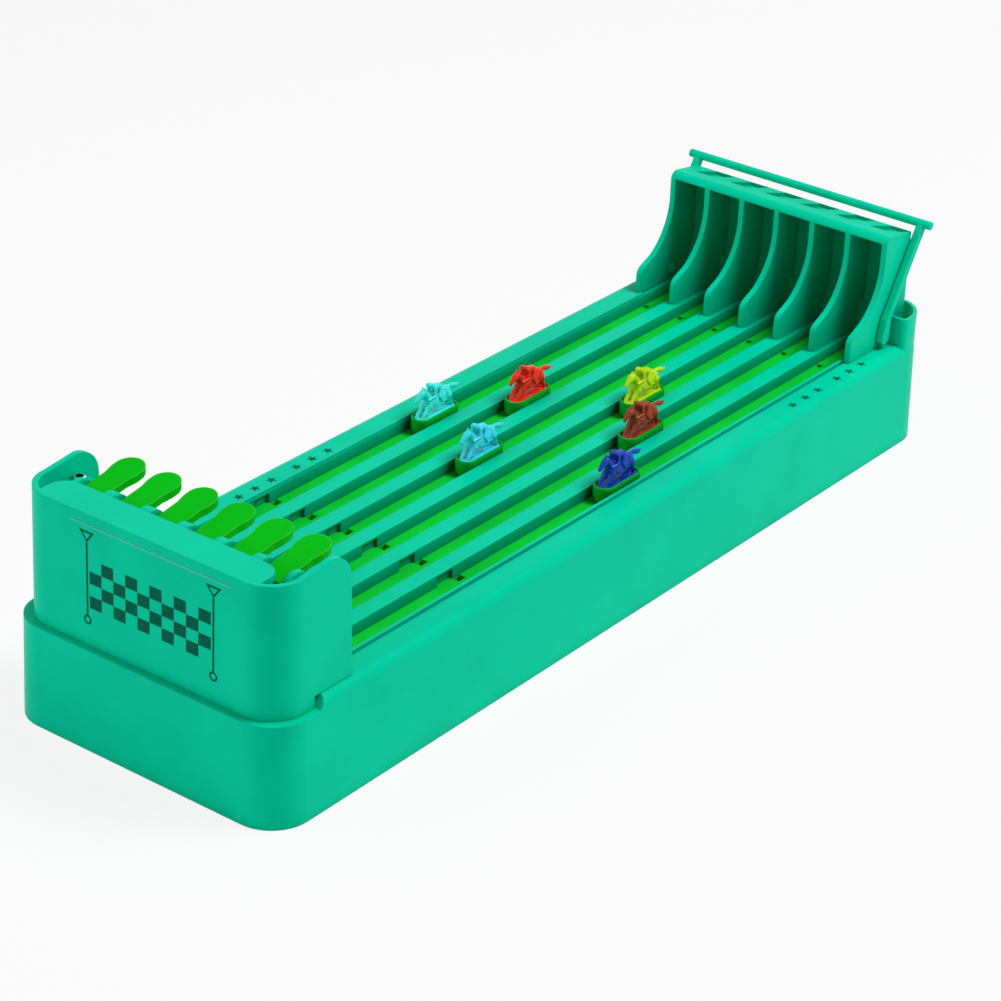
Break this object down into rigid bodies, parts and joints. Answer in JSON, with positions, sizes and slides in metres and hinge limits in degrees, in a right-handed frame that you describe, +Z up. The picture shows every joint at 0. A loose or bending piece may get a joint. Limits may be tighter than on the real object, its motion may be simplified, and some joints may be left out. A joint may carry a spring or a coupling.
{
  "type": "lever horse race game",
  "caption": "Table-top race game: finger levers at one end, sunken lanes with horse and rider figures in cups, and a curved hood with compartments at the other end.",
  "frame": {"origin": "centre of the underside of the housing", "axes": "+X across the lanes to the right, +Y along the lanes from the levers to the hood, +Z up"},
  "size_m": [0.131, 0.4244, 0.097],
  "materials": {
    "teal_plastic": "satin moulded",
    "lane_green_plastic": "satin moulded",
    "lever_green_plastic": "gloss moulded",
    "cup_green_plastic": "gloss moulded",
    "aqua_plastic": "gloss moulded",
    "red_plastic": "gloss moulded",
    "light_blue_plastic": "gloss moulded",
    "yellow_green_plastic": "gloss moulded",
    "brown_plastic": "gloss moulded",
    "blue_plastic": "gloss moulded",
    "ball_steel": "polished",
    "spring_steel": "plain",
    "fastener_steel": "plated"
  },
  "bodies": {
    "base": {"track_housing": "teal_plastic", "lane_frame": "teal_plastic", "lane_plate": "lane_green_plastic", "bottom_cover": "teal_plastic", "finish_cap": "teal_plastic", "lever_carrier": "teal_plastic", "lever_axle": "fastener_steel", "start_hood": "teal_plastic", "cover_screws": "fastener_steel", "lane_screws": "fastener_steel", "hood_screws": "fastener_steel", "cap_screws": "fastener_steel", "carrier_screws": "fastener_steel", "bail_pins": "teal_plastic", "lever_spring_1": "spring_steel", "lever_spring_2": "spring_steel", "lever_spring_3": "spring_steel", "lever_spring_4": "spring_steel", "lever_spring_5": "spring_steel", "lever_spring_6": "spring_steel"},
    "lever_1_body": {"lever_1": "lever_green_plastic"},
    "lever_2_body": {"lever_2": "lever_green_plastic"},
    "lever_3_body": {"lever_3": "lever_green_plastic"},
    "lever_4_body": {"lever_4": "lever_green_plastic"},
    "lever_5_body": {"lever_5": "lever_green_plastic"},
    "lever_6_body": {"lever_6": "lever_green_plastic"},
    "ball_1_body": {"ball_1": "ball_steel"},
    "ball_2_body": {"ball_2": "ball_steel"},
    "ball_3_body": {"ball_3": "ball_steel"},
    "ball_4_body": {"ball_4": "ball_steel"},
    "ball_5_body": {"ball_5": "ball_steel"},
    "ball_6_body": {"ball_6": "ball_steel"},
    "horse_1_body": {"horse_base_1": "cup_green_plastic", "horse_1": "aqua_plastic"},
    "horse_2_body": {"horse_base_2": "cup_green_plastic", "horse_2": "red_plastic"},
    "horse_3_body": {"horse_base_3": "cup_green_plastic", "horse_3": "light_blue_plastic"},
    "horse_4_body": {"horse_base_4": "cup_green_plastic", "horse_4": "yellow_green_plastic"},
    "horse_5_body": {"horse_base_5": "cup_green_plastic", "horse_5": "brown_plastic"},
    "horse_6_body": {"horse_base_6": "cup_green_plastic", "horse_6": "blue_plastic"},
    "bail_body": {"rear_bail": "teal_plastic"}
  },
  "joints": [
    {"name": "lever_1_press", "type": "hinge", "parent": "base", "child": "lever_1_body", "pos_m": [-0.04365, -0.1861, 0.08325], "axis": [-1, 0, 0], "range_deg": [0, 18], "stiffness_Nm_per_rad": 0.06, "springref_deg": -11.46, "deforming": ["lever_spring_1"]},
    {"name": "lever_2_press", "type": "hinge", "parent": "base", "child": "lever_2_body", "pos_m": [-0.02619, -0.1861, 0.08325], "axis": [-1, 0, 0], "range_deg": [0, 18], "stiffness_Nm_per_rad": 0.06, "springref_deg": -11.46, "deforming": ["lever_spring_2"]},
    {"name": "lever_3_press", "type": "hinge", "parent": "base", "child": "lever_3_body", "pos_m": [-0.00873, -0.1861, 0.08325], "axis": [-1, 0, 0], "range_deg": [0, 18], "stiffness_Nm_per_rad": 0.06, "springref_deg": -11.46, "deforming": ["lever_spring_3"]},
    {"name": "lever_4_press", "type": "hinge", "parent": "base", "child": "lever_4_body", "pos_m": [0.00873, -0.1861, 0.08325], "axis": [-1, 0, 0], "range_deg": [0, 18], "stiffness_Nm_per_rad": 0.06, "springref_deg": -11.46, "deforming": ["lever_spring_4"]},
    {"name": "lever_5_press", "type": "hinge", "parent": "base", "child": "lever_5_body", "pos_m": [0.02619, -0.1861, 0.08325], "axis": [-1, 0, 0], "range_deg": [0, 18], "stiffness_Nm_per_rad": 0.06, "springref_deg": -11.46, "deforming": ["lever_spring_5"]},
    {"name": "lever_6_press", "type": "hinge", "parent": "base", "child": "lever_6_body", "pos_m": [0.04365, -0.1861, 0.08325], "axis": [-1, 0, 0], "range_deg": [0, 18], "stiffness_Nm_per_rad": 0.06, "springref_deg": -11.46, "deforming": ["lever_spring_6"]},
    {"name": "ball_1_roll", "type": "slide", "parent": "base", "child": "ball_1_body", "axis": [0, 1, 0], "range_m": [0, 0.086]},
    {"name": "ball_2_roll", "type": "slide", "parent": "base", "child": "ball_2_body", "axis": [0, 1, 0], "range_m": [0, 0.086]},
    {"name": "ball_3_roll", "type": "slide", "parent": "base", "child": "ball_3_body", "axis": [0, 1, 0], "range_m": [0, 0.086]},
    {"name": "ball_4_roll", "type": "slide", "parent": "base", "child": "ball_4_body", "axis": [0, 1, 0], "range_m": [0, 0.086]},
    {"name": "ball_5_roll", "type": "slide", "parent": "base", "child": "ball_5_body", "axis": [0, 1, 0], "range_m": [0, 0.086]},
    {"name": "ball_6_roll", "type": "slide", "parent": "base", "child": "ball_6_body", "axis": [0, 1, 0], "range_m": [0, 0.086]},
    {"name": "horse_1_run", "type": "slide", "parent": "base", "child": "horse_1_body", "axis": [0, 1, 0], "range_m": [-0.0794, 0.1346]},
    {"name": "horse_2_run", "type": "slide", "parent": "base", "child": "horse_2_body", "axis": [0, 1, 0], "range_m": [-0.1175, 0.0965]},
    {"name": "horse_3_run", "type": "slide", "parent": "base", "child": "horse_3_body", "axis": [0, 1, 0], "range_m": [-0.0628, 0.1512]},
    {"name": "horse_4_run", "type": "slide", "parent": "base", "child": "horse_4_body", "axis": [0, 1, 0], "range_m": [-0.1476, 0.0664]},
    {"name": "horse_5_run", "type": "slide", "parent": "base", "child": "horse_5_body", "axis": [0, 1, 0], "range_m": [-0.1217, 0.0923]},
    {"name": "horse_6_run", "type": "slide", "parent": "base", "child": "horse_6_body", "axis": [0, 1, 0], "range_m": [-0.0805, 0.1335]},
    {"name": "bail_swing", "type": "hinge", "parent": "base", "child": "bail_body", "pos_m": [0, 0.185, 0.0504], "axis": [1, 0, 0], "range_deg": [0, 27]}
  ]
}
